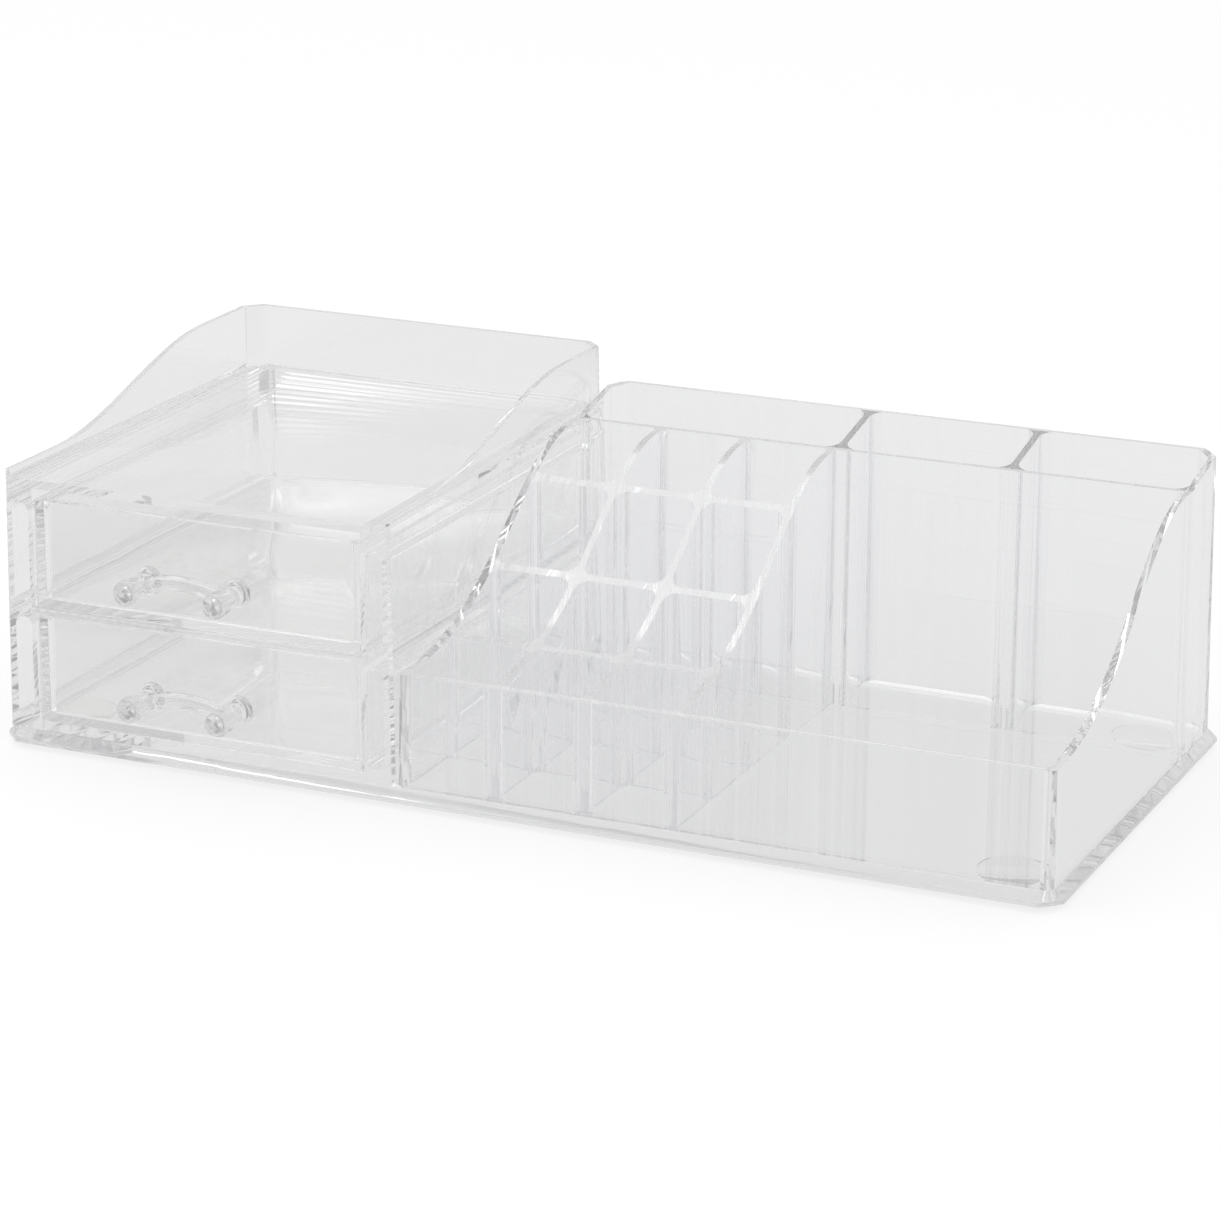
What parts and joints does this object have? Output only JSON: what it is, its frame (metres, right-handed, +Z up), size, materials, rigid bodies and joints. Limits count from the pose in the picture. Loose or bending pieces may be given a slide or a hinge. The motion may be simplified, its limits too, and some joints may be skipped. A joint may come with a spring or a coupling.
{
  "type": "vanity organizer",
  "caption": "Clear desktop vanity organizer: drawer cabinet with bow pulls and an S-curved top tray, beside an open caddy with lipstick cells, tall rear compartments and a front tray.",
  "frame": {"origin": "on the surface that the feet stand on, in the middle of the whole footprint with the pulls", "axes": "+Z up, +X along the length from the drawer cabinet to the caddy, drawers face -Y"},
  "size_m": [0.38, 0.1956, 0.118],
  "materials": {
    "clear_base": "polished clear",
    "clear_cabinet": "polished clear",
    "clear_drawer": "polished clear",
    "clear_pull": "polished clear",
    "clear_caddy": "polished clear",
    "soft_foot": "satin, milky clear"
  },
  "bodies": {
    "frame": {"base_plate": "clear_base", "cabinet_shell": "clear_cabinet", "drawer_shelf": "clear_cabinet", "caddy_shell": "clear_caddy", "lipstick_rack": "clear_caddy", "rear_partition": "clear_caddy", "front_left_foot": "soft_foot", "front_right_foot": "soft_foot", "rear_left_foot": "soft_foot", "rear_right_foot": "soft_foot"},
    "lower_drawer_unit": {"lower_drawer": "clear_drawer", "lower_pull": "clear_pull"},
    "upper_drawer_unit": {"upper_drawer": "clear_drawer", "upper_pull": "clear_pull"}
  },
  "joints": [
    {"name": "lower_drawer_slide", "type": "slide", "parent": "frame", "child": "lower_drawer_unit", "axis": [0, -1, 0], "range_m": [0, 0.12]},
    {"name": "upper_drawer_slide", "type": "slide", "parent": "frame", "child": "upper_drawer_unit", "axis": [0, -1, 0], "range_m": [0, 0.12]}
  ]
}
